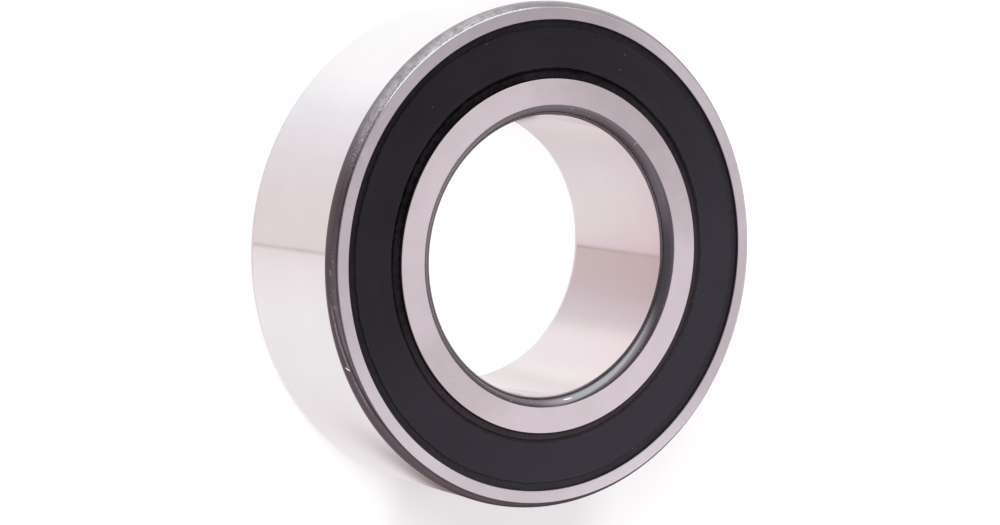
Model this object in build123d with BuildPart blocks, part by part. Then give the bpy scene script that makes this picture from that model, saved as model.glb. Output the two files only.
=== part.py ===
"""Double-row angular contact ball bearing with a rubber seal in each side.

The axis is Z and the origin is the centre of the bearing. Lengths are in millimetres, angles in degrees.
Both rows lean outwards: the line through a ball's two contacts meets the axis outside the bearing.
"""

from build123d import *
from math import atan2, cos, floor, hypot, pi, radians, sin, tan
import os

# Balls and raceways
ball_diameter = 11.1125
contact_angle = 30.0
raceway_conformity = 0.52  # raceway radius as a share of the ball diameter
raceway_edge = 0.2  # rounding where a raceway meets a land
running_clearance = 0.02  # between a ball and a raceway, along the contact line
ball_spacing = 4.6  # least gap between two balls, along the pitch circle
row_gap = 0.755  # between the balls of one row and those of the other

# Inner ring
bore_diameter = 50.0
inner_wall = 4.6  # steel between the bore and a ball
inner_shoulder_height = 3.3  # high shoulder, towards the side face
inner_centre_height = 1.3  # low land between the two raceways
seal_track_depth = 1.5  # step down from the shoulder to the track under the seal lip
bore_corner_radial = 1.72
bore_corner_axial = 1.95

# Outer ring
outer_wall = 4.2875  # steel between a ball and the outside
outer_shoulder_height = 3.2  # high land between the two raceways
outer_relief_height = 0.3  # low shoulder that the balls snap past in assembly
outer_corner_radial = 1.2
outer_corner_axial = 2.26

# Both rings
corner_fullness = 0.9  # 1 would run each corner curve tangent into the ring's cylinder
edge_break = 0.15  # small chamfer where a side face meets a turned groove

# Seals
seal_recess = 0.26  # seal face below the ring faces
seal_thickness = 1.6
seal_edge = 0.2  # rounding at the edges of the raised disc
seal_seat_width = 1.3  # seat for the bead, outside the relieved land
seal_groove_undercut = 0.6
seal_groove_height = 0.8
seal_groove_slope = 0.6  # height over which the groove narrows to its mouth
bead_clearance = 0.02
bead_depth = 0.34  # bead stands this far below the back of the seal
bead_edge = 0.12
rim_width = 1.35
rim_drop = 0.3  # rim around the raised disc, below it
lip_clearance = 0.06
lip_width = 1.2
lip_edge = 0.12
lip_drop = 0.4  # outer face of the lip, below the raised disc
lip_depth = 0.42  # lip reaches this far below the back of the seal
lip_foot_width = 0.8
lip_groove_width = 0.55  # hinge groove between the lip and the raised disc
lip_groove_depth = 0.75
lip_groove_taper = 0.15

# Cages
pocket_clearance = 0.15
cage_web = 1.2  # closed side of the cage, behind the balls
cage_seal_gap = 0.4
cage_shoulder_gap = 0.7
cage_depth = 4.6
cage_edge = 0.4
horn_reach = 2.4  # how far the horns pass the ball centres
horn_slot_width = 1.5
horn_slot_depth = 4.4
web_hole_diameter = 2.4  # moulding hollow in the web, between two balls
web_hole_depth = 2.2

# Radii
bore_radius = bore_diameter / 2
ball_radius = ball_diameter / 2
pitch_radius = bore_radius + inner_wall + ball_radius
outer_radius = pitch_radius + ball_radius + outer_wall
shoulder_radius = pitch_radius - ball_radius + inner_shoulder_height
inner_centre_radius = pitch_radius - ball_radius + inner_centre_height
seal_track_radius = shoulder_radius - seal_track_depth
outer_centre_radius = pitch_radius + ball_radius - outer_shoulder_height
relief_radius = pitch_radius + ball_radius - outer_relief_height
seal_mouth_radius = relief_radius + seal_seat_width
seal_groove_radius = seal_mouth_radius + seal_groove_undercut
rim_radius = seal_mouth_radius - bead_clearance
bead_radius = seal_groove_radius - bead_clearance
disc_radius = rim_radius - rim_width
lip_radius = seal_track_radius + lip_clearance
lip_outer_radius = lip_radius + lip_width
lip_groove_radius = lip_outer_radius + lip_groove_width
cage_inner_radius = shoulder_radius + cage_shoulder_gap
cage_middle_radius = cage_inner_radius + cage_depth / 2
cage_outer_radius = cage_inner_radius + cage_depth

# Heights above the middle of the bearing
row_height = row_gap / 2 + ball_radius
pocket_radius = ball_radius + pocket_clearance
horn_tip_height = row_height - horn_reach
horn_slot_height = horn_tip_height + horn_slot_depth
web_height = row_height + pocket_radius + cage_web
seal_back_height = web_height + cage_seal_gap
seal_face_height = seal_back_height + seal_thickness
half_width = seal_face_height + seal_recess
seat_height = seal_back_height - bead_depth
groove_top_height = seat_height + seal_groove_height
mouth_height = groove_top_height + seal_groove_slope
rim_height = seal_face_height - rim_drop
lip_height = seal_face_height - lip_drop
lip_groove_height = seal_face_height - lip_groove_depth
lip_foot_height = seal_back_height - lip_depth
track_height = lip_foot_height - lip_clearance

# Centre of the circle that each raceway is ground to, set off from the ball along the contact line
raceway_radius = raceway_conformity * ball_diameter
raceway_offset = raceway_radius - ball_radius - running_clearance
offset_radial = raceway_offset * cos(radians(contact_angle))
offset_axial = raceway_offset * sin(radians(contact_angle))
outer_raceway = (pitch_radius - offset_radial, row_height + offset_axial)
inner_raceway = (pitch_radius + offset_radial, row_height - offset_axial)

# Balls in a row, as many as keep their spacing
balls_per_row = floor(2 * pi * pitch_radius / (ball_diameter + ball_spacing))
half_step = 180 / balls_per_row

# Each row: its name, a plane whose local y points to its side face, that side, and its first ball's angle
upper_plane = Plane.XZ
lower_plane = Plane(origin=(0, 0, 0), x_dir=(1, 0, 0), z_dir=(0, 1, 0))
rows = [("upper", upper_plane, 1, 0.0), ("lower", lower_plane, -1, half_step)]

os.makedirs("parts", exist_ok=True)


def save(piece, name):
    """Label a finished piece and write it as a STEP file."""
    piece.part.label = name
    export_step(piece.part, f"parts/{name}.step")


def corner_bulge(radial, axial):
    """Height over its chord of the curve between a ring's side face and its cylinder."""
    lean = atan2(min(radial, axial), max(radial, axial))
    return corner_fullness * hypot(radial, axial) / 2 * tan(lean / 2)


def cut_raceways(section, raceway):
    """Cut both raceways into a ring's section, and round the edges where they meet the lands."""
    radius, height = raceway
    with Locations((radius, height), (radius, -height)):
        Circle(raceway_radius, mode=Mode.SUBTRACT)
    edges = section.vertices().filter_by(
        lambda v: abs(hypot(v.X - radius, abs(v.Y) - height) - raceway_radius) < 1e-4
    )
    fillet(edges, raceway_edge)


# Outer ring: high land in the middle, relieved land and seal groove at each side
with BuildPart() as outer_ring:
    with BuildSketch(Plane.XZ) as outer_section:
        with BuildLine():
            outer_bore = Polyline(
                (outer_centre_radius, 0),
                (outer_centre_radius, row_height),
                (relief_radius, row_height),
                (relief_radius, seat_height),
                (seal_groove_radius, seat_height),
                (seal_groove_radius, groove_top_height),
                (seal_mouth_radius, mouth_height),
                (seal_mouth_radius, half_width - edge_break),
                (seal_mouth_radius + edge_break, half_width),
                (outer_radius - outer_corner_radial, half_width),
            )
            outer_corner = SagittaArc(
                outer_bore @ 1,
                (outer_radius, half_width - outer_corner_axial),
                corner_bulge(outer_corner_radial, outer_corner_axial),
            )
            Line(outer_corner @ 1, (outer_radius, 0))
            mirror(about=Plane.XZ)
        make_face()
        cut_raceways(outer_section, outer_raceway)
    revolve(axis=Axis.Z)
save(outer_ring, "outer_ring")


# Inner ring: low land in the middle, high shoulders, and a track for each seal lip
with BuildPart() as inner_ring:
    with BuildSketch(Plane.XZ) as inner_section:
        with BuildLine():
            inner_outside = Polyline(
                (inner_centre_radius, 0),
                (inner_centre_radius, row_height),
                (shoulder_radius, row_height),
                (shoulder_radius, track_height - edge_break),
                (shoulder_radius - edge_break, track_height),
                (seal_track_radius, track_height),
                (seal_track_radius, half_width - edge_break),
                (seal_track_radius - edge_break, half_width),
                (bore_radius + bore_corner_radial, half_width),
            )
            bore_corner = SagittaArc(
                inner_outside @ 1,
                (bore_radius, half_width - bore_corner_axial),
                -corner_bulge(bore_corner_radial, bore_corner_axial),
            )
            Line(bore_corner @ 1, (bore_radius, 0))
            mirror(about=Plane.XZ)
        make_face()
        cut_raceways(inner_section, inner_raceway)
    revolve(axis=Axis.Z)
save(inner_ring, "inner_ring")


for row, plane, side, turn in rows:

    # Seal: a raised disc, a bead that snaps into the outer ring, and a lip that runs on the inner ring
    with BuildPart() as seal:
        with BuildSketch(plane) as seal_section:
            with BuildLine():
                Polyline(
                    (relief_radius + bead_clearance, seat_height),
                    (bead_radius, seat_height),
                    (bead_radius, groove_top_height),
                    (rim_radius, mouth_height),
                    (rim_radius, rim_height),
                    (disc_radius, rim_height),
                    (disc_radius, seal_face_height),
                    (lip_groove_radius, seal_face_height),
                    (lip_groove_radius - lip_groove_taper, lip_groove_height),
                    (lip_outer_radius + lip_groove_taper, lip_groove_height),
                    (lip_outer_radius, lip_height),
                    (lip_radius, lip_height),
                    (lip_radius, lip_foot_height),
                    (lip_radius + lip_foot_width, lip_foot_height),
                    (lip_groove_radius, seal_back_height),
                    (relief_radius - bead_depth, seal_back_height),
                    close=True,
                )
            make_face()
            fillet(seal_section.vertices().group_by(Axis.Y)[-1], seal_edge)
            fillet(seal_section.vertices().group_by(Axis.X)[0], lip_edge)
            fillet(seal_section.vertices().group_by(Axis.X)[-1], bead_edge)
        revolve(axis=Axis.Z)
    save(seal, f"{row}_seal")

    # Slot between the horns of two neighbouring pockets, with a round end
    with BuildPart() as horn_slot:
        with BuildSketch(Plane.YZ):
            with Locations((0, side * (horn_tip_height + horn_slot_height) / 2)):
                Rectangle(horn_slot_width, horn_slot_depth)
            with Locations((0, side * horn_slot_height)):
                Circle(horn_slot_width / 2)
        extrude(amount=cage_outer_radius + cage_depth)

    # Cage: one moulding with a closed web behind the balls and two horns around each ball
    with BuildPart() as cage:
        with BuildSketch(plane):
            with Locations((cage_inner_radius, horn_tip_height)):
                Rectangle(cage_depth, web_height - horn_tip_height, align=(Align.MIN, Align.MIN))
        revolve(axis=Axis.Z)
        web_face = cage.faces().sort_by(Axis.Z)[-1 if side > 0 else 0]
        chamfer(web_face.edges(), cage_edge)
        with Locations((0, 0, side * row_height)):
            with PolarLocations(pitch_radius, balls_per_row, turn):
                Sphere(pocket_radius, mode=Mode.SUBTRACT)
        with PolarLocations(0, balls_per_row, turn + half_step):
            add(horn_slot.part, mode=Mode.SUBTRACT)
        with Locations((0, 0, side * web_height)):
            with PolarLocations(cage_middle_radius, balls_per_row, turn + half_step):
                Cylinder(web_hole_diameter / 2, 2 * web_hole_depth, mode=Mode.SUBTRACT)
    save(cage, f"{row}_cage")

    # Balls, each a piece of its own
    for number in range(balls_per_row):
        angle = radians(turn + 2 * half_step * number)
        centre = (pitch_radius * cos(angle), pitch_radius * sin(angle), side * row_height)
        with BuildPart() as ball:
            with Locations(centre):
                Sphere(ball_radius)
        save(ball, f"{row}_ball_{number + 1:02d}")
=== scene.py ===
# %% [markdown]
# # A double-row ball bearing, dressed for its photograph
#
# The bearing has two steel rings with two rows of balls between them, and a black rubber seal in
# each side. Its solids were made in a CAD model first. This lesson loads that model as a fixed
# frame, rebuilds the rings and seals as fine turned surfaces, and gives every piece a finish worked
# out from mathematics, with no image files. The real rings are turned on a lathe, hardened, and then
# ground only where they work, so one ring carries several finishes: bright ground faces, dark
# corners that the grinding wheel never touched, and dull turned grooves.

import bpy
import numpy as np
from mathutils import Matrix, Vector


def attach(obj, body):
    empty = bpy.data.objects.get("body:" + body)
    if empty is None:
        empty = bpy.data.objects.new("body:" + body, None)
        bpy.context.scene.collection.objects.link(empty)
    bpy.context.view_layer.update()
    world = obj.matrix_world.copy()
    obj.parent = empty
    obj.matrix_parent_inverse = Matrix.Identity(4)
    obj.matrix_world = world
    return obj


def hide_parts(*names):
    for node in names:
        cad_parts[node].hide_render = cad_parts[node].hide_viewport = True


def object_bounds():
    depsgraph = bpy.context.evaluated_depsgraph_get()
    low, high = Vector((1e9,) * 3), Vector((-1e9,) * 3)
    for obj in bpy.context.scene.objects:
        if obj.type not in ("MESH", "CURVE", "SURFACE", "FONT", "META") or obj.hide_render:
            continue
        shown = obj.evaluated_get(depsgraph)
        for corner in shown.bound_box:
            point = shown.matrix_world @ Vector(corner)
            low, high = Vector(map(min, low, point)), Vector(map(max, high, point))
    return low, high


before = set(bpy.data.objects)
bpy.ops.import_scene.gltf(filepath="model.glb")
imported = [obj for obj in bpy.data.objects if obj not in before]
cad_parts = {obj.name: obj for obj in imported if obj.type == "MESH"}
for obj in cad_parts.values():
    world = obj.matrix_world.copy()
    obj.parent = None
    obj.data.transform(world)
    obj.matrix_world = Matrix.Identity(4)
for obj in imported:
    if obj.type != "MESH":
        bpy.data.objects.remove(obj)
cad_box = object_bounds()

# %% [markdown]
# ## Sizes
#
# Lengths on the bearing are in millimetres. Its outer size is read from the frame, and the rest is
# worked out as on a drawing, from the bore and the balls. A raceway is ground a little wider than
# the ball, to 0.52 of its diameter, so that the ball touches it at one spot. Its circle is therefore
# centred off the middle of the ball, along the line through the ball's two contacts, which leans by
# 30 degrees. The two centres below are those places in the upper row, each within about 0.0001 mm. A
# place in the section is a pair: radius and height.

# %% Sizes in millimetres
half_width = round(cad_box[1].z * 1000, 3)
outer_radius = round(cad_box[1].x * 1000, 3)
bore_radius = 25.0
inner_wall = 4.6  # steel between the bore and a ball
ball_radius = 5.55625
edge_break = 0.08  # height of the small slope where a side face meets a turned groove

pitch_radius = bore_radius + inner_wall + ball_radius
race_radius = 0.52 * 2 * ball_radius
outer_race = (34.9812, 6.0349)
inner_race = (35.3314, 5.8326)
print("outer radius:", outer_radius, "half width:", half_width)
print("pitch radius:", pitch_radius, "raceway radius:", race_radius)

# %% [markdown]
# ## Outlines
#
# Everything here is turned, so each piece is one outline carried round the axis. An outline is an
# array with one row for each point: its radius and height, how far the edge there is rounded, which
# finish the stretch after it has, and how far the edge wanders from a true circle, because a broken
# or moulded edge is never perfect. Points run anticlockwise, with height upwards, so the surface
# faces outwards.

# %% Stretches of an outline
OUTSIDE, CORNER, FACE, TURNED, RACEWAY = range(5)


def at(radius, height, finish, rounding=0.0, wander=0.0):
    """One point of an outline, as an array of one row."""
    return np.array([[radius, height, rounding, finish, wander]])


def bow(start, end, rise, finish, then, wander=(0.0, 0.0), rounding=0.1, count=12):
    """An arc from start to end that swells to the right of the way it goes.

    With half the chord c and the rise h, its radius is (c^2 + h^2) / 2h, and its half angle is
    twice the arc tangent of h / c."""
    start, end = np.array(start), np.array(end)
    chord = end - start
    half = np.hypot(*chord) / 2
    along = chord / (2 * half)
    out = np.array([along[1], -along[0]])
    size = (half**2 + rise**2) / (2 * rise)
    angle = np.linspace(-1, 1, count)[:, None] * 2 * np.arctan(rise / half)
    swell = size * np.cos(angle) - size + rise
    rows = np.zeros((count, 5))
    rows[:, :2] = (start + end) / 2 + size * np.sin(angle) * along + swell * out
    rows[:, 3] = finish
    rows[-1, 3] = then
    rows[[0, -1], 2] = rounding
    rows[[0, -1], 4] = wander
    return rows


def angle_at(centre, radius):
    """The angle at which a raceway's circle reaches a radius: the arc cosine of (r - centre) / size."""
    return np.arccos((radius - centre[0]) / race_radius)


def raceway(centre, first, last, rounding=0.12, count=28):
    """A raceway's circle from the angle first to the angle last, with its two edges rounded."""
    angle = np.linspace(first, last, count)
    rows = np.zeros((count, 5))
    rows[:, 0] = centre[0] + race_radius * np.cos(angle)
    rows[:, 1] = centre[1] + race_radius * np.sin(angle)
    rows[[0, -1], 2] = rounding
    rows[:, 3] = RACEWAY
    rows[-1, 3] = TURNED
    return rows


def mirrored(rows):
    """The same outline below the middle plane, in the opposite order so that it still faces out."""
    turned = rows[::-1] * [1, -1, 1, 1, 1]
    turned[:, 3] = np.roll(turned[:, 3], -1)
    return turned


print("numbers for each point of an outline:", at(bore_radius, 0, OUTSIDE).shape[1])

# %% [markdown]
# Real edges are never sharp: even a ground edge is a tenth of a millimetre round, and that small
# curve is what catches the light. Each rounded corner becomes a quadratic curve, whose middle
# control point is the corner itself.


# %% Round the edges
def eased(rows, steps=4):
    """Round the corners of a closed outline: (1-t)^2 start + 2t(1-t) corner + t^2 end."""
    point, cut = rows[:, :2], rows[:, 2:3]
    before = np.roll(point, 1, axis=0) - point
    after = np.roll(point, -1, axis=0) - point
    start = point + before / np.linalg.norm(before, axis=1, keepdims=True) * cut
    end = point + after / np.linalg.norm(after, axis=1, keepdims=True) * cut
    t = np.linspace(0, 1, steps)[None, :, None]
    curve = start[:, None] * (1 - t) ** 2 + point[:, None] * 2 * t * (1 - t) + end[:, None] * t**2
    keep = (cut > 0) | (np.arange(steps) == 0)
    finish = np.repeat(rows[:, 3:4], steps, axis=1)[keep]
    wander = np.repeat(rows[:, 4:5], steps, axis=1)[keep]
    return curve[keep], finish.astype(int), wander


square = np.vstack([at(x, y, FACE, 0.1) for x, y in ((0, 0), (1, 0), (1, 1), (0, 1))])
print("a square of 4 points, eased:", len(eased(square)[0]), "points")

# %% [markdown]
# The outline is then swept round the axis, and edges that wander follow a slow wave. Normals are
# worked out from the outline too, from the chord between a point's two neighbours: a long flat
# neighbour outweighs a short curved one, so flats stay flat in the shading right up to their edges.


# %% Sweep an outline round the axis
def wavering(angle, phase):
    """A closed, uneven wave round the axis, between about -1 and 1: the sum of six cosines."""
    waves = [(3, 0.2), (7, 0.15), (16, 0.2), (41, 0.15), (83, 0.15), (137, 0.15)]
    return sum(share * np.cos(count * angle + phase * count**0.5) for count, share in waves)


def swept(flat, height, angle):
    """Turn values across and along the axis to each angle: (a cos t, a sin t, h)."""
    across = np.broadcast_to(flat, (len(angle), flat.shape[-1]))
    up = np.broadcast_to(height, across.shape)
    return np.stack([across * np.cos(angle)[:, None], across * np.sin(angle)[:, None], up], axis=-1)


def turned_piece(name, rows, body, phase, around=360):
    """Sweep a closed outline round the axis and join its rings of points into quads."""
    outline, finish, wander = eased(rows)
    angle = np.linspace(0, 2 * np.pi, around, endpoint=False)
    radius = outline[None, :, 0] + wander[None, :] * wavering(angle, phase)[:, None]
    spots = swept(radius, outline[None, :, 1], angle) / 1000
    chord = np.roll(outline, -1, axis=0) - np.roll(outline, 1, axis=0)
    lean = np.stack([chord[:, 1], -chord[:, 0]], axis=1) / np.linalg.norm(chord, axis=1, keepdims=True)
    normals = swept(lean[None, :, 0], lean[None, :, 1], angle)
    count = len(outline)
    i, j = np.meshgrid(np.arange(around), np.arange(count), indexing="ij")
    i_next, j_next = (i + 1) % around, (j + 1) % count
    quads = np.stack([i * count + j, i_next * count + j, i_next * count + j_next, i * count + j_next], -1)
    mesh = bpy.data.meshes.new(name)
    mesh.from_pydata(spots.reshape(-1, 3).tolist(), [], quads.reshape(-1, 4).tolist())
    mesh.polygons.foreach_set("material_index", np.tile(finish, around))
    mesh.polygons.foreach_set("use_smooth", np.ones(len(mesh.polygons), bool))
    mesh.normals_split_custom_set_from_vertices(normals.reshape(-1, 3).tolist())
    piece = bpy.data.objects.new(name, mesh)
    bpy.context.scene.collection.objects.link(piece)
    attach(piece, body)
    print(name, "outline points:", count, "triangles:", 2 * around * count)
    return piece


print("largest wave:", round(np.abs(wavering(np.linspace(0, 2 * np.pi, 720), 1.0)).max(), 2))

# %% [markdown]
# ## The outer ring
#
# The outside is ground round and smooth. At each side a generous corner curves into the ring's
# face, left dark from hardening. Inside, the face drops into the groove that holds the seal, then
# comes a low shoulder that the balls snapped past, the raceway, and a high land in the middle. The
# outline is written for the upper half and mirrored.

# %% Make the outer ring
corner_foot = half_width - 2.26  # where the corner leaves the outside
corner_top = outer_radius - 1.2  # where it meets the face
outer_land = pitch_radius + ball_radius - 3.2
relief = pitch_radius + ball_radius - 0.3  # the low shoulder
groove_mouth = relief + 1.3
groove_bottom = groove_mouth + 0.6
seat_height = half_width - 2.2
groove_top = seat_height + 0.8
mouth_height = groove_top + 0.6
outer_half = np.vstack(
    [
        at(outer_radius, 0, OUTSIDE),
        bow((outer_radius, corner_foot), (corner_top, half_width), 0.287, CORNER, FACE, wander=(0, 0.03)),
        at(groove_mouth + 0.0575, half_width, TURNED, 0.05, 0.015),
        at(groove_mouth, half_width - edge_break, TURNED, 0.03),
        at(groove_mouth, mouth_height, TURNED, 0.05),
        at(groove_bottom, groove_top, TURNED, 0.1),
        at(groove_bottom, seat_height, TURNED, 0.1),
        at(relief, seat_height, TURNED, 0.1),
        raceway(outer_race, angle_at(outer_race, relief), -angle_at(outer_race, outer_land)),
        at(outer_land, 0, TURNED),
    ]
)
outer_rows = np.vstack([outer_half, mirrored(outer_half)[1:-1]])
ring_outer = turned_piece("ring_outer", outer_rows, "outer_ring", phase=1.0)
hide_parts("outer_ring")

# %% [markdown]
# ## The inner ring
#
# It is the outer ring turned inside out: the ground bore with its dark corner, the face, a track on
# which the seal lip runs, a high shoulder towards the face, and a low land between the raceways.
# Because the raceway lies on its outer side, the outline starts at the low land and goes up.

# %% Make the inner ring
bore_corner_foot = half_width - 1.95  # where the corner leaves the bore
bore_corner_top = bore_radius + 1.72  # where it meets the face
inner_land = pitch_radius - ball_radius + 1.3
shoulder = pitch_radius - ball_radius + 3.3
seal_track = shoulder - 1.5
track_height = half_width - 2.34
inner_half = np.vstack(
    [
        at(inner_land, 0, TURNED),
        raceway(inner_race, 2 * np.pi - angle_at(inner_race, inner_land), angle_at(inner_race, shoulder)),
        at(shoulder, track_height, TURNED, 0.12),
        at(seal_track, track_height, TURNED, 0.12),
        at(seal_track, half_width - edge_break, TURNED, 0.03),
        at(seal_track - 0.06, half_width, FACE, 0.05, 0.015),
        bow(
            (bore_corner_top, half_width),
            (bore_radius, bore_corner_foot),
            0.442,
            CORNER,
            OUTSIDE,
            wander=(0.03, 0),
        ),
        at(bore_radius, 0, OUTSIDE),
    ]
)
inner_rows = np.vstack([inner_half, mirrored(inner_half)[1:-1]])
ring_inner = turned_piece("ring_inner", inner_rows, "inner_ring", phase=2.0)
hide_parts("inner_ring")

# %% [markdown]
# ## The seals
#
# Each seal is moulded rubber. A raised flat disc stands a little below the ring faces. Round it runs
# a lower rim that snaps into the outer ring, and inside it a hinge groove and a narrow lip that
# wipes the inner ring. The edges of the moulding are soft and slightly wavy. The lower seal is the
# same outline mirrored.

# %% Make both seals
DISC, RIM, LIP, BACK = range(4)
seal_clearance = 0.02  # between the seal and the groove that holds it
hinge_taper = 0.15
seal_face = half_width - 0.26
seal_back = seal_face - 1.6
rim_height = seal_face - 0.3
lip_height = seal_face - 0.4
hinge_bottom = seal_face - 0.75
lip_foot = seal_back - 0.42
rim_radius = groove_mouth - seal_clearance
disc_radius = rim_radius - 1.35
bead_radius = groove_bottom - seal_clearance
bead_inner = relief + seal_clearance
lip_radius = seal_track + 0.06
lip_outer = lip_radius + 1.2
hinge_outer = lip_outer + 0.55
seal_rows = np.vstack(
    [
        at(lip_radius, lip_foot, BACK, 0.1),
        at(lip_radius + 0.8, lip_foot, BACK),
        at(hinge_outer, seal_back, BACK),
        at(bead_inner - 0.36, seal_back, BACK),
        at(bead_inner, seat_height, BACK),
        at(bead_radius, seat_height, BACK, 0.1),
        at(bead_radius, groove_top, BACK, 0.1),
        at(rim_radius, mouth_height, BACK),
        at(rim_radius, rim_height, RIM, 0.08),
        at(disc_radius, rim_height, RIM, 0.08, 0.16),
        at(disc_radius, seal_face, DISC, 0.16, 0.2),
        at(hinge_outer, seal_face, LIP, 0.16, 0.14),
        at(hinge_outer - hinge_taper, hinge_bottom, LIP, 0.05),
        at(lip_outer + hinge_taper, hinge_bottom, LIP, 0.05),
        at(lip_outer, lip_height, LIP, 0.14, 0.03),
        at(lip_radius, lip_height, LIP, 0.12),
    ]
)
seal_upper, seal_lower = (
    turned_piece(name, rows, "outer_ring", phase, around=720)
    for name, rows, phase in (("seal_front", seal_rows, 3.0), ("seal_back", mirrored(seal_rows), 4.0))
)
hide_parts("upper_seal")
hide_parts("lower_seal")

# %% [markdown]
# ## Shader maths
#
# A finish is a small calculation for every point of a surface, and Blender builds it from nodes.
# Writing such a calculation as plain Python is easier to read, so one class wraps a socket: adding
# or multiplying two values adds a Math node, and one method makes any other node.


# %% A value in a material
class Value:
    """The output of a node, in the node tree that it belongs to."""

    def __init__(self, tree, socket=None):
        self.tree, self.socket = tree, socket

    def node(self, kind, settings=None, inputs=None, output=0):
        """Add a node: its settings first, then the values or links of its inputs."""
        made = self.tree.nodes.new(kind)
        for key, value in (settings or {}).items():
            if key == "stops":
                elements = made.color_ramp.elements
                for element, (place, colour) in zip(elements, (value[0], value[-1])):
                    element.position, element.color = place, (*colour, 1.0)
                for place, colour in value[1:-1]:
                    elements.new(place).color = (*colour, 1.0)
            else:
                setattr(made, key, value)
        for key, value in (inputs or {}).items():
            if isinstance(value, Value):
                self.tree.links.new(value.socket, made.inputs[key])
            else:
                made.inputs[key].default_value = value
        return Value(self.tree, None if output is None else made.outputs[output])

    def maths(self, operation, *values):
        return self.node("ShaderNodeMath", {"operation": operation}, dict(enumerate(values)))

    def __add__(self, other):
        return self.maths("ADD", self, other)

    def __sub__(self, other):
        return self.maths("SUBTRACT", self, other)

    def __rsub__(self, other):
        return self.maths("SUBTRACT", other, self)

    def __mul__(self, other):
        return self.maths("MULTIPLY", self, other)

    def __truediv__(self, other):
        return self.maths("DIVIDE", self, other)

    __radd__, __rmul__ = __add__, __mul__

    def rise(self, low, high):
        """0 below low, 1 above high, and a smooth step between them. High may be below low."""
        return self.node(
            "ShaderNodeMapRange",
            {"interpolation_type": "SMOOTHSTEP"},
            {"Value": self, "From Min": low, "From Max": high},
        )

    def within(self, start, full, fading, end):
        """1 from full to fading, with a smooth step down to 0 at start and at end."""
        return self.rise(start, full) * self.rise(end, fading)

    def between(self, first, second):
        """The first colour where this value is 0, the second where it is 1."""
        pair = {
            key: value if isinstance(value, Value) else (*value, 1.0)
            for key, value in ((6, first), (7, second))
        }
        return self.node("ShaderNodeMix", {"data_type": "RGBA"}, {0: self, **pair}, output=2)

    def under(self, *layers):
        """This colour under layers of others. Each is a mask and the colour that lies where it is 1."""
        colour = self
        for mask, layer in layers:
            colour = mask.between(colour, layer)
        return colour

    def tinted(self, mask, colour):
        """This colour, multiplied by another as far as the mask says."""
        settings = {"data_type": "RGBA", "blend_type": "MULTIPLY"}
        return self.node("ShaderNodeMix", settings, {0: mask, 6: self, 7: (*colour, 1.0)}, output=2)


print("methods of a value:", sum(callable(made) for made in vars(Value).values()))

# %% [markdown]
# Every finish starts in the same way: an empty node tree, the point's place on its piece in
# millimetres, and how far it is from the axis. Tool marks are noise that changes slowly round the
# axis and quickly across it, so it is stretched into rings.


# %% Start and end a finish
class Finish:
    """A material being made. It holds what every finish here reads: place, x, y, height, radius."""

    def __init__(self, name):
        self.material = bpy.data.materials.new(name)
        self.material.use_nodes = True
        self.material.node_tree.nodes.clear()
        self.tool = Value(self.material.node_tree)
        metres = self.tool.node("ShaderNodeTexCoord", output="Object")
        self.place = self.tool.node(
            "ShaderNodeVectorMath", {"operation": "SCALE"}, {0: metres, "Scale": 1000.0}
        )
        self.x, self.y, self.height = (
            self.tool.node("ShaderNodeSeparateXYZ", None, {0: self.place}, output=k) for k in range(3)
        )
        self.radius = self.tool.maths("SQRT", self.x * self.x + self.y * self.y)

    def noise(self, scale, detail=2.0, vector=None):
        """Soft noise between 0 and 1, whose features are about 1 / scale millimetres across."""
        sockets = {"Vector": vector or self.place, "Scale": scale, "Detail": detail, "Roughness": 0.6}
        return self.tool.node("ShaderNodeTexNoise", None, sockets)

    def rings(self, across, slow, fast, detail=3.0):
        """Tool marks: noise at the place (slow x, slow y, fast across)."""
        vector = self.tool.node(
            "ShaderNodeCombineXYZ", None, {0: self.x * slow, 1: self.y * slow, 2: across * fast}
        )
        return self.noise(1.0, detail, vector)

    def side(self, turn, reach):
        """1 at a direction in degrees round the axis, falling to 0 where it is reach degrees away.

        The cosine of the angle between them is (x cos a + y sin a) / radius."""
        angle = np.radians(turn)
        cosine = (self.x * np.cos(angle) + self.y * np.sin(angle)) / self.radius
        return cosine.rise(np.cos(np.radians(reach)), 1.0)

    def band(self, across, middle, width):
        """1 where across is near middle, and 0 where it is further off than width."""
        return self.tool.maths("ABSOLUTE", across - middle).rise(width, width / 2)

    def along(self, turn):
        """Millimetres round the axis from a direction in degrees, near it: y cos a - x sin a."""
        angle = np.radians(turn)
        return self.y * np.cos(angle) - self.x * np.sin(angle)

    def mark(self, turn, length, across, middle, width, lean=0.0):
        """1 on a short scratch at an angle round the axis, where across is near middle, and 0 elsewhere."""
        along = self.along(turn) + (across - middle) * lean
        return self.band(along, 0.0, length / 2) * self.band(across, middle, width) * self.side(turn, 20) * 2

    def node_count(self):
        return len(self.material.node_tree.nodes)

    def done(self, fixed, relief=None, strength=0.1, depth=0.01, **changing):
        """Join the finish to its shader. Fixed values go straight onto the shader's own sockets."""
        if relief is not None:
            changing["Normal"] = self.tool.node(
                "ShaderNodeBump", None, {"Strength": strength, "Distance": depth / 1000, "Height": relief}
            )
        changing = {key.replace("_", " "): value for key, value in changing.items()}
        shader = self.tool.node("ShaderNodeBsdfPrincipled", None, {**fixed, **changing})
        self.tool.node("ShaderNodeOutputMaterial", None, {"Surface": shader}, output=None)
        print("finish:", self.material.name, "nodes:", self.node_count())
        return self.material
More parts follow.
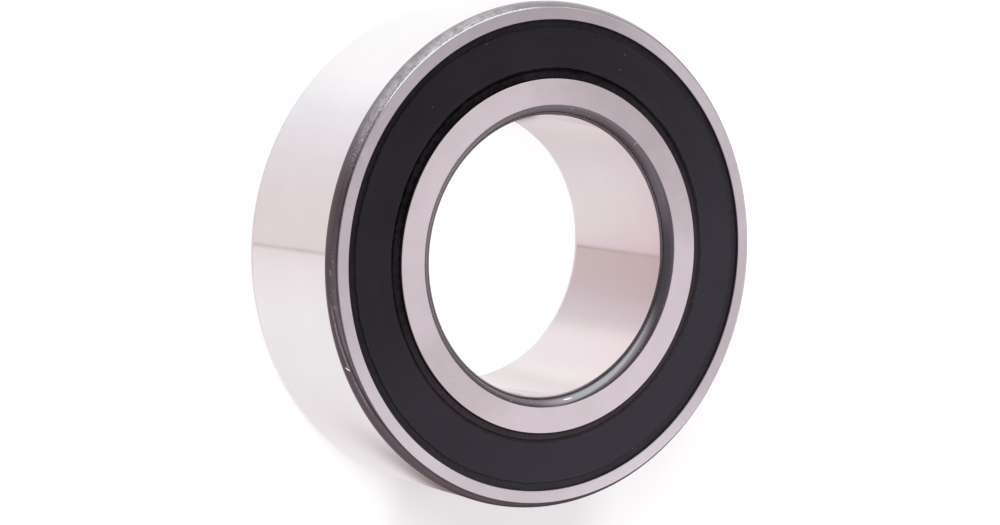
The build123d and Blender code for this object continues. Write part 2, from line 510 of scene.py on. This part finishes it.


# %% [markdown]
# ## Ground steel
#
# The outside and the bore are ground and honed, so they mirror the studio softly. Their colour is a
# pale steel with faint clouds, and fine rings make the gloss a little uneven. The side faces are
# ground on a flat wheel: their marks run round the axis too, but they are duller. Paler and darker
# patches round each side face are painted reflection.


# %% Bright surfaces of the rings
def ground_cylinder(name, dark, light):
    """Honed steel whose marks lie in planes across the axis."""
    steel = Finish(name)
    marks = steel.rings(steel.height, 0.04, 2.2)
    clouds = steel.noise(0.05, 3.0)
    tint = (clouds * 0.7 + marks * 0.3).rise(0.3, 0.7)
    return steel.done(
        {"Metallic": 1.0},
        relief=marks,
        strength=0.05,
        depth=0.003,
        Base_Color=tint.between(dark, light),
        Roughness=marks * 0.03 + clouds * 0.03 + 0.035,
    )


outside_steel = ground_cylinder("steel_outside", (0.88, 0.863, 0.875), (0.92, 0.903, 0.915))
bore_steel = ground_cylinder("steel_bore", (0.785, 0.72, 0.729), (0.825, 0.76, 0.769))


def ground_face(name, dark, light, level, painted_reflections):
    """Duller ground steel. Each painted reflection is a direction in degrees, its reach, and how much paler
    it is.
    """
    steel = Finish(name)
    marks = steel.rings(steel.radius, 0.06, 3.0)
    clouds = steel.noise(0.16, 3.0)
    smears = steel.rings(steel.radius, 0.35, 0.12, 3.0).rise(0.62, 0.72)
    usual = 0.255  # what the clouds and marks add up to on average
    tint = clouds * 0.45 + marks * 0.06 + smears * 0.1 + (level - usual)
    for turn, reach, paler in painted_reflections:
        tint = tint + steel.side(turn, reach) * paler
    return steel.done(
        {"Metallic": 1.0},
        relief=marks,
        strength=0.03,
        depth=0.006,
        Base_Color=tint.between(dark, light),
        Roughness=marks * 0.04 + smears * 0.04 + 0.26,
    )


# Painted reflection: patches that make each face paler or darker round the axis.
outer_painted_reflections = [
    (104, 42, -0.25),
    (228, 28, 0.23),
    (302, 24, 0.22),
    (350, 26, -0.22),
    (55, 26, 0.17),
    (161, 12, -0.12),
]
inner_painted_reflections = [(145, 60, 0.28), (55, 50, -0.40), (238, 25, -0.28)]
outer_face = ground_face("steel_outer_face", (0.60, 0.57, 0.59), (0.96, 0.915, 0.945), 0.39, outer_painted_reflections)
inner_face = ground_face("steel_inner_face", (0.60, 0.548, 0.563), (0.96, 0.893, 0.915), 0.67, inner_painted_reflections)

# %% [markdown]
# ## Dark corners
#
# Hardening leaves a thin dark scale on steel, and only the corners keep it. It is brownish grey and
# satin under a film of oil. Each corner needs a coordinate that runs across it: height less radius
# grows all the way from the outside to the face, and on the bore's corner it is height plus radius.
# A finish is built up as a painter would, in thin layers, each with a mask that says where it lies.
#
# Handling has rubbed one side of the outer corner silvery, with hairline scratches, and with gaps
# where some of the scale is left. The silver is partly that wear and partly a painted highlight on
# the side that faces the light.

# %% The rubbed side of the outer corner, with its painted highlight
oil_film = {"Coat Roughness": 0.08, "Coat IOR": 1.6}
scale = Finish("steel_outer_corner")
run = scale.tool.maths("ABSOLUTE", scale.height) - scale.radius + (outer_radius - corner_foot)
streaks = scale.rings(run, 0.09, 2.0, 4.0)
mottle = scale.noise(0.55, 4.0)
grains = scale.noise(1.7, 2.0)
hairlines = scale.rings(run, 0.3, 4.0, 2.0)
patch = scale.band(run, 3.2, 0.5) * scale.side(153, 11) * scale.noise(0.5, 2.0).rise(0.36, 0.48)
gaps = hairlines.rise(0.44, 0.34) * scale.side(148, 34) * 0.8 + patch
rubbed = (grains * 0.3 + streaks * 0.2 + mottle * 0.5).rise(0.36, 0.64)
silver = rubbed.between((0.28, 0.275, 0.305), (0.56, 0.552, 0.60)).under(
    (scale.side(96, 24), (0.23, 0.225, 0.245)),
    # Painted shade: the silver is darker where it meets the outside.
    (run.rise(1.3, 0.3) * 0.45, (0.19, 0.185, 0.205)),
    (hairlines.rise(0.58, 0.68) * 0.5, (0.78, 0.77, 0.81)),
    (gaps, (0.17, 0.158, 0.175)),
)
print("nodes so far:", scale.node_count())

# %% [markdown]
# The scale itself is darkest beside the outside and, but for one paler stretch, where it meets the
# face. The rubbed and highlit side lies over it. Over both come beads and specks, and a pale scratch
# with a painted shadow beside it, a dark line, which slant slowly across the corner.

# %% The scale, its specks and its scratch
near_face = scale.side(226, 50).between((0.088, 0.068, 0.077), (0.24, 0.2, 0.22))
# Wear and painted highlight: the silvery side lies where the light falls.
worn_and_highlit = scale.side(120, 52) * (run.rise(0.0, 2.2) * 0.4 + 0.6)
beads = scale.noise(3.2).rise(0.54, 0.64) * scale.band(run, 2.4, 1.0) * scale.side(156, 16) * 0.9
spots = scale.band(run, 1.9, 0.7) * scale.side(194, 10) * scale.noise(1.9, 1.0).rise(0.6, 0.68) * 2
specks = grains.rise(0.72, 0.78) * 0.6 + spots
slant = run - scale.along(210) * 0.055 + scale.noise(0.15, 2.0) * 0.6
scratch = scale.band(slant, 2.0, 0.24) * scale.side(210, 15) * 2
bare = run.rise(0.6, 2.6).between(
    streaks.between((0.085, 0.068, 0.074), (0.145, 0.12, 0.13)),
    streaks.between((0.165, 0.137, 0.152), (0.265, 0.223, 0.245)),
)
bare = bare.tinted(scale.side(217, 42), (1.75, 1.98, 2.03)).tinted(scale.side(258, 20), (1.45, 1.33, 1.33))
marked = bare.under(
    ((run + mottle * 0.8).rise(3.0, 3.5), near_face),
    (worn_and_highlit, silver),
    (scale.tool.maths("MAXIMUM", beads, specks), (0.56, 0.545, 0.58)),
    # Painted shadow: the dark line beside the scratch.
    (scale.band(slant, 2.5, 0.4) * scale.side(215, 22), (0.12, 0.1, 0.11)),
    (scratch * scale.noise(0.3, 2.0).rise(0.38, 0.48), (0.62, 0.6, 0.63)),
)
print("nodes so far:", scale.node_count())

# %% [markdown]
# A broken edge and a small nick show bare metal, and the edge also carries a painted highlight on the
# side that faces the light. On one stretch next to the outside the oil film is missing, and there the
# scale is matt. The lower corner is painted paler on the side that forms the outline in the
# photograph, a painted reflection, because no dark line shows there.

# %% Finish the outer corner
# Painted reflection: the lower corner is painted paler on the side of the outline.
painted_rear_reflection = scale.height.rise(4, -4) * scale.side(180, 85) * 1.6
# Painted highlight along the face edge on the lit side, partly bare metal where the edge is broken.
edge = (run + grains * 0.5).rise(3.3, 3.45) * scale.side(128, 27) * 3
bare_edge_and_highlight = edge * scale.noise(0.35, 3.0).rise(0.3, 0.38)
nick = scale.mark(211.8, length=0.36, across=run, middle=1.4, width=0.5, lean=-0.75)
dry = scale.side(268, 26) * run.rise(2.0, 1.0)
outer_corner = scale.done(
    oil_film,
    relief=mottle * 0.5 + grains * 0.5,
    strength=0.35,
    depth=0.03,
    Base_Color=marked.under(
        (painted_rear_reflection, (0.84, 0.8, 0.81)),
        (scale.tool.maths("MAXIMUM", nick, bare_edge_and_highlight), (0.97, 0.96, 0.97)),
    ),
    Metallic=1 - nick * 0.9,
    Roughness=0.42 - worn_and_highlit * 0.12 - painted_rear_reflection * 0.1 + dry * 0.3,
    Coat_Weight=1 - dry,
)

# %% [markdown]
# The bore's corner is smoother and greyer, and darker next to the face and next to the bore. One
# side carries a painted highlight, a pale glint that slants across it, and another a pale line along
# the bore. There are a few pale specks and one fine scratch. Its lower corner is painted paler, a
# painted reflection, where it would show as a dark line at the far end of the bore.

# %% The bore's corner
scale = Finish("steel_bore_corner")
run = scale.tool.maths("ABSOLUTE", scale.height) + scale.radius - (bore_radius + bore_corner_foot)
streaks = scale.rings(run, 0.05, 1.4)
grains = scale.noise(1.7, 2.0)
slant = run + scale.along(-55) * 0.085
# Painted highlight: the pale glint on the side at -53 degrees.
painted_glint = streaks.between((0.33, 0.32, 0.36), (0.45, 0.44, 0.485))
# Painted reflection: the lower corner of the bore is painted paler.
painted_rear_reflection = scale.height.rise(4, -4) * scale.side(0, 85) * 1.6
nick = scale.mark(287, length=2.2, across=run, middle=2.5, width=0.16)
bare = streaks.between((0.165, 0.147, 0.16), (0.225, 0.205, 0.22)).under(
    (scale.side(60, 60) * 0.6, (0.3, 0.275, 0.3)),
    (run.rise(2.5, 3.4) * 0.6, (0.075, 0.068, 0.078)),
    (scale.side(122, 24) * 0.5 + scale.side(261, 27) * 0.6, (0.09, 0.082, 0.092)),
    (scale.side(-53, 38) * scale.band(slant, 2.0, 1.05), painted_glint),
    (scale.side(0, 26), (0.17, 0.163, 0.19)),
    (run.rise(1.6, 0.5), (0.14, 0.142, 0.168)),
    (run.rise(1.1, 0.6) * scale.side(266, 42), (0.6, 0.58, 0.61)),
    (grains.rise(0.68, 0.73) * 0.8, (0.6, 0.6, 0.62)),
    (painted_rear_reflection, (0.9, 0.85, 0.86)),
    (nick * 0.8, (0.93, 0.93, 0.95)),
)
bore_corner = scale.done(
    {"Coat Weight": 1.0, **oil_film},
    relief=grains * 0.5 + streaks * 0.5,
    strength=0.2,
    depth=0.02,
    Base_Color=bare,
    Metallic=1 - nick * 0.5,
    Roughness=streaks * 0.1 + 0.22,
)

# %% [markdown]
# Inside the rings, the grooves and lands are plain turned steel, with coarse even rings from the
# tool. The raceways are honed until they are nearly mirrors. Each ring then gets its five finishes,
# in the order of the numbers that its outline uses.

# %% Surfaces inside the rings
turned = Finish("steel_turned")
tracks = turned.rings(turned.radius + turned.height, 0.03, 5.0, 2.0)
turned_steel = turned.done(
    {"Metallic": 1.0},
    relief=tracks,
    strength=0.4,
    depth=0.02,
    Base_Color=tracks.between((0.3, 0.28, 0.285), (0.5, 0.48, 0.485)),
    Roughness=tracks * 0.15 + 0.3,
)
honed = Finish("steel_raceway")
polish = honed.rings(honed.height, 0.02, 8.0)
raceway_steel = honed.done(
    {"Metallic": 1.0},
    Base_Color=polish.between((0.74, 0.73, 0.735), (0.84, 0.83, 0.835)),
    Roughness=polish * 0.06 + 0.05,
)
for ring, round_finish, corner_finish, face_finish in (
    (ring_outer, outside_steel, outer_corner, outer_face),
    (ring_inner, bore_steel, bore_corner, inner_face),
):
    for material in (round_finish, corner_finish, face_finish, turned_steel, raceway_steel):
        ring.data.materials.append(material)

# %% [markdown]
# ## Seal rubber
#
# Nitrile rubber filled with carbon black is a very dark, slightly warm grey with a satin skin. The
# raised disc took its skin from a smooth mould and carries a few grains of dust. The rim and the
# hinge groove are duller, and the lip has a brown tinge from the grease that it wipes. Every rubber
# is also painted paler towards one side, as painted light.


# %% Finishes of the seals
def rubber(name, dark, light, gloss, shine, dust=0.0, uneven=0.0):
    """Moulded rubber with a fine grain, faint rings from the mould, a share of dust, uneven patches, and
    painted light that makes one side paler.
    """
    skin = Finish(name)
    grain = skin.noise(5.0, 3.0)
    bloom = skin.noise(0.06, 3.0)
    mould = skin.rings(skin.radius, 0.03, 1.5, 2.0)
    cells = {"Vector": skin.place, "Scale": 0.4}
    near = skin.tool.node("ShaderNodeTexVoronoi", None, cells, output="Distance")
    pick = skin.tool.node("ShaderNodeTexVoronoi", None, cells, output="Color")
    # Painted light: side(-42, 180) makes the rubber paler towards one side, as if lit from there.
    haze_and_painted_light = skin.side(-42, 180) * 0.8 + (bloom * 0.6 + mould * 0.4 - 0.4) + (skin.noise(0.9) - 0.5) * uneven
    grains_of_dust = near.rise(0.07, 0.03) * pick.rise(0.5, 0.8) * dust
    return skin.done(
        {"Specular IOR Level": shine},
        relief=grain * 0.7 + mould * 0.3,
        strength=0.25,
        depth=0.02,
        Base_Color=haze_and_painted_light.between(dark, light).under((grains_of_dust, (0.16, 0.15, 0.16))),
        Roughness=grain * 0.08 + bloom * 0.06 + gloss,
    )


seal_finishes = [
    rubber("rubber_disc", (0.0050, 0.0040, 0.0070), (0.0190, 0.0165, 0.0240), 0.36, 0.26, dust=0.5),
    rubber("rubber_rim", (0.0040, 0.0020, 0.0036), (0.0240, 0.0190, 0.0240), 0.46, 0.2, uneven=0.9),
    rubber("rubber_lip", (0.0020, 0.0008, 0.0018), (0.0380, 0.0300, 0.0355), 0.42, 0.08, uneven=0.6),
    rubber("rubber_back", (0.010, 0.0095, 0.010), (0.014, 0.0135, 0.014), 0.5, 0.3),
]
for seal in (seal_upper, seal_lower):
    for material in seal_finishes:
        seal.data.materials.append(material)

# %% [markdown]
# ## Balls and cages
#
# The balls and cages keep their CAD shapes, because a ball is a plain sphere and the cage's pockets
# are cut by one. The balls are lapped to a mirror with only hair-fine random scratches. The cages
# are moulded from natural glass-filled polyamide: creamy, satin, with pale threads of glass where
# the melt flowed.

# %% Finishes of the balls and cages
lapped = Finish("steel_ball")
wisps = lapped.noise(0.5, 5.0)
ball_steel = lapped.done(
    {"Metallic": 1.0},
    Base_Color=wisps.between((0.80, 0.80, 0.81), (0.86, 0.86, 0.87)),
    Roughness=wisps.rise(0.45, 0.7) * 0.07 + 0.03,
)
moulded = Finish("polyamide_cage")
flow = moulded.rings(moulded.height, 0.25, 0.6, 4.0)
fibres = moulded.rings(moulded.radius, 0.9, 6.0, 2.0)
cage_plastic = moulded.done(
    {"Specular IOR Level": 0.45},
    relief=fibres,
    strength=0.2,
    depth=0.02,
    Base_Color=(flow * 0.7 + fibres * 0.3).rise(0.3, 0.75).between((0.56, 0.47, 0.31), (0.74, 0.67, 0.5)),
    Roughness=fibres * 0.15 + 0.36,
)
for name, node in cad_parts.items():
    if "ball" in name or "cage" in name:
        node.data.materials.clear()
        node.data.materials.append(ball_steel if "ball" in name else cage_plastic)
print("CAD nodes that keep their shape:", sum("ball" in n or "cage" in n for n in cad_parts))

# %% [markdown]
# ## The studio
#
# Polished metal has hardly a colour of its own: it shows the room. This room is a white tent. Its
# table is white, with a thin dark line where it meets the back wall, smudged in three places. The
# wall is a faint pink grey that brightens to white overhead, and the side of the camera is dim. The
# room is worked out from the direction of a mirrored ray: right, up and front are the three parts of
# its unit vector, and a ramp over one of them, or over a mix of two, paints a wall.

# %% The back wall
world = bpy.data.worlds.new("white_tent")
bpy.context.scene.world = world
world.use_nodes = True
world.node_tree.nodes.clear()
room = Value(world.node_tree)
direction = room.node("ShaderNodeTexCoord", output="Generated")
right, up, front = (room.node("ShaderNodeSeparateXYZ", None, {0: direction}, output=k) for k in range(3))
back_wall = [
    (0.2, (0.84, 0.82, 0.84)),
    (0.25, (0.865, 0.84, 0.85)),
    (0.315, (0.87, 0.844, 0.851)),
    (0.365, (0.86, 0.82, 0.83)),
    (0.41, (0.84, 0.777, 0.795)),
    (0.4365, (0.80, 0.735, 0.74)),
    (0.441, (0.63, 0.55, 0.54)),
    (0.4455, (0.76, 0.69, 0.675)),
    (0.52, (0.765, 0.695, 0.68)),
    (0.575, (0.765, 0.703, 0.717)),
    (0.625, (0.78, 0.734, 0.747)),
    (0.67, (0.825, 0.789, 0.83)),
    (0.71, (0.86, 0.85, 0.885)),
    (0.735, (0.94, 0.935, 0.95)),
    (0.75, (1.0, 0.985, 1.0)),
]
smudge_places = [
    (-0.881, -0.8795, -0.8785, -0.8765),
    (-0.874, -0.8715, -0.869, -0.8665),
    (-0.83, -0.82, -0.811, -0.8075),
]
table_line = -0.116
beside_line = room.maths("ABSOLUTE", up - table_line)
smudges = beside_line.rise(0.011, 0.004) * sum(front.within(*place) for place in smudge_places)
near_wall = front.rise(-0.85, -0.81) * up.within(-0.15, -0.13, 0.46, 0.56)
behind = room.node("ShaderNodeValToRGB", {"stops": back_wall}, {0: up * 0.5 + 0.5})
behind = behind.tinted(smudges, (0.82, 0.77, 0.76))
behind = behind.under((right.rise(-0.05, 0.25) * up.rise(0.0, 0.15), (1.0, 1.0, 1.0)))
behind = behind.tinted(near_wall, (0.88, 0.86, 0.86))
behind = behind.tinted(front.rise(-0.815, -0.79), (0.955, 0.88, 0.895))
print("shades of the back wall:", len(back_wall), "smudges:", len(smudge_places))

# %% [markdown]
# The outside of the ring also mirrors what lies close beside it on the table: a duller stretch, the
# dark line of contact, and the deep shade below. The edges of the first two are slightly tilted, which
# is why their coordinate mixes front with a little of right.

# %% The table
table = front - right * 0.055
dull = table.rise(-0.882, -0.86) * right.rise(-0.2, 0.3) * up.rise(-0.1, -0.2)
contact = table.within(-0.867, -0.858, -0.856, -0.852) * right.within(0.05, 0.5, 0.53, 0.55)
below = front.rise(-0.8, -0.74) * up.rise(-0.08, -0.2)
behind = behind.tinted(dull, (0.91, 0.88, 0.885))
behind = behind.under((contact * up.rise(-0.05, -0.13), (0.22, 0.165, 0.165)))
behind = behind.tinted(below, (0.42, 0.37, 0.38)).tinted(below * right.rise(0.42, 0.56), (0.45, 0.44, 0.45))
print("nodes so far:", len(world.node_tree.nodes))

# %% [markdown]
# The side of the camera is the dim end of the tent, and brightens along a slanting line. Mirrored
# rays see the whole room. The camera itself sees plain white, and matt surfaces get even light, so
# the colours come out as they were chosen.

# %% The side of the camera, and who sees the room
front_wall = [
    (0.0, (0.22, 0.19, 0.20)),
    (0.45, (0.31, 0.27, 0.285)),
    (0.58, (0.44, 0.405, 0.42)),
    (0.623, (0.55, 0.505, 0.53)),
    (0.6515, (0.66, 0.607, 0.64)),
    (0.689, (0.73, 0.675, 0.71)),
    (0.716, (0.80, 0.745, 0.78)),
    (0.80, (1.0, 0.95, 0.98)),
]
slanting = right * 0.6 - up * 0.8
ahead = room.node("ShaderNodeValToRGB", {"stops": front_wall}, {0: slanting * 0.5 + 0.5}).under(
    (up.rise(-0.35, -0.7), (0.42, 0.38, 0.4)),
    (up.rise(-0.8, -0.95), (0.25, 0.18, 0.195)),
    (up.rise(0.32, 0.6), (1.0, 1.0, 1.0)),
)
mirrored_room = front.rise(-0.35, 0.05).between(behind, ahead)
camera_sees, mirrors_see, glass_sees = (
    room.node("ShaderNodeLightPath", output=f"Is {kind} Ray") for kind in ("Camera", "Glossy", "Transmission")
)
shown = mirrors_see.between((0.5, 0.49, 0.5), mirrored_room)
shown = room.maths("MAXIMUM", camera_sees, glass_sees).between(shown, (1.0, 1.0, 1.0))
light = room.node("ShaderNodeBackground", None, {"Color": shown, "Strength": 1.06})
room.node("ShaderNodeOutputWorld", None, {"Surface": light}, output=None)
print("nodes of the room:", len(world.node_tree.nodes))

# %% [markdown]
# Two soft boxes give the matt surfaces a direction. They are hidden from mirrored rays, because the
# room already shows what those should see. One helper turns a lamp or a camera towards a point.


# %% Two soft boxes
def facing(place, aim=(0.0, 0.0, 0.0), roll=0.0):
    """The matrix of something at place that looks at aim, upright along Y and then rolled, in degrees.

    Its back is the unit vector from aim to place, its side the cross product of Y and its back, and
    its top the cross product of back and side. The roll turns side and top round the back."""
    back = np.subtract(place, aim)
    back /= np.linalg.norm(back)
    side = np.cross((0, 1, 0), back)
    side /= np.linalg.norm(side)
    top = np.cross(back, side)
    cosine, sine = np.cos(np.radians(roll)), np.sin(np.radians(roll))
    turn = np.eye(4)
    turn[:3, :3] = np.stack([side * cosine + top * sine, top * cosine - side * sine, back], axis=1)
    turn[:3, 3] = place
    return Matrix(turn.tolist())


def soft_box(name, place, size, watts):
    """A square area light that faces the middle of the bearing."""
    lamp = bpy.data.lights.new(name, "AREA")
    lamp.shape, lamp.size, lamp.energy = "SQUARE", size, watts
    box = bpy.data.objects.new(name, lamp)
    box.matrix_world = facing(place)
    box.visible_glossy = False
    bpy.context.scene.collection.objects.link(box)
    print(name, "at", place, "size", size, "watts", watts)


soft_box("soft_box_above", (-0.56, 0.42, 0.70), 0.45, 9.0)
soft_box("soft_box_front", (0.62, -0.2, 0.75), 0.8, 2.2)

# %% [markdown]
# The bearing lies on its back on a pale floor, because round things can't stand on their rims
# unheld, and the camera looks down on it as the photograph does. For the camera the floor is nearly
# all its own white, with a little matt colour added, so that a soft shadow still shows. Its own
# white is stronger under the bore, painted light where little light falls, and a little weaker in a
# strip that crosses beside the bearing, a painted shadow. Mirrored rays pass through the floor to the room.

# %% The floor
floor_reach = 2.5
floor_height = cad_box[0].z
corner_signs = ((-1, -1), (1, -1), (1, 1), (-1, 1))
floor_corners = [(x * floor_reach, y * floor_reach, floor_height) for x, y in corner_signs]
floor_mesh = bpy.data.meshes.new("floor")
floor_mesh.from_pydata(floor_corners, [], [(0, 1, 2, 3)])
floor = bpy.data.objects.new("floor", floor_mesh)
bpy.context.scene.collection.objects.link(floor)
floor.visible_glossy = False
paper = bpy.data.materials.new("floor_paper")
paper.use_nodes = True
paper.node_tree.nodes.clear()
sheet = Value(paper.node_tree)
camera_ray = sheet.node("ShaderNodeLightPath", output="Is Camera Ray")
spot = sheet.node("ShaderNodeTexCoord", output="Object")
from_axis = sheet.node("ShaderNodeVectorMath", {"operation": "LENGTH"}, {0: spot}, output="Value")
across = sheet.node("ShaderNodeSeparateXYZ", None, {0: spot})
under_bore = from_axis.rise(0.046, 0.028)
# Painted shadow: the floor's own white is weaker in this strip beside the bearing.
painted_shadow_strip = across.within(-0.013, -0.003, 0.032, 0.046) * from_axis.rise(0.085, 0.065)
glow = camera_ray * (under_bore * 0.34 - painted_shadow_strip * 0.14 + 0.67)
matt_colour = camera_ray.between((0.85, 0.84, 0.85), (0.42, 0.385, 0.41))
matt = sheet.node("ShaderNodeBsdfDiffuse", None, {"Color": matt_colour})
own = sheet.node("ShaderNodeEmission", None, {"Color": (1.0, 1.0, 1.0, 1.0), "Strength": glow})
both = sheet.node("ShaderNodeAddShader", None, {0: matt, 1: own})
sheet.node("ShaderNodeOutputMaterial", None, {"Surface": both}, output=None)
floor_mesh.materials.append(paper)
print("floor at", round(floor_height * 1000, 3), "mm, nodes:", len(paper.node_tree.nodes))

# %% [markdown]
# ## The camera
#
# The edges of the rings show as ellipses in the photograph, and their shapes fix where the camera
# stands, where it looks, how far it is rolled and how long its lens is. Lengths are in metres here.

# %% Place the camera
camera_place = (-0.251557, 0.0, 0.371520)
camera_aim = (-0.00097, -0.002375, 0.0)  # where the middle of the picture meets the middle plane
camera_roll = 7.9355
camera_data = bpy.data.cameras.new("camera")
camera_data.lens, camera_data.sensor_width, camera_data.sensor_fit = 88.95, 36.0, "HORIZONTAL"
camera_data.clip_start, camera_data.clip_end = 0.01, 20.0
camera = bpy.data.objects.new("camera", camera_data)
camera.matrix_world = facing(camera_place, camera_aim, camera_roll)
bpy.context.scene.collection.objects.link(camera)
bpy.context.scene.camera = camera
bpy.context.scene.view_settings.view_transform = "Standard"
camera_distance = np.linalg.norm(np.subtract(camera_place, camera_aim))
print("distance to the aim in mm:", round(float(camera_distance) * 1000, 1))

# %% [markdown]
# Last, the dressed bearing must be exactly as large as its solids.
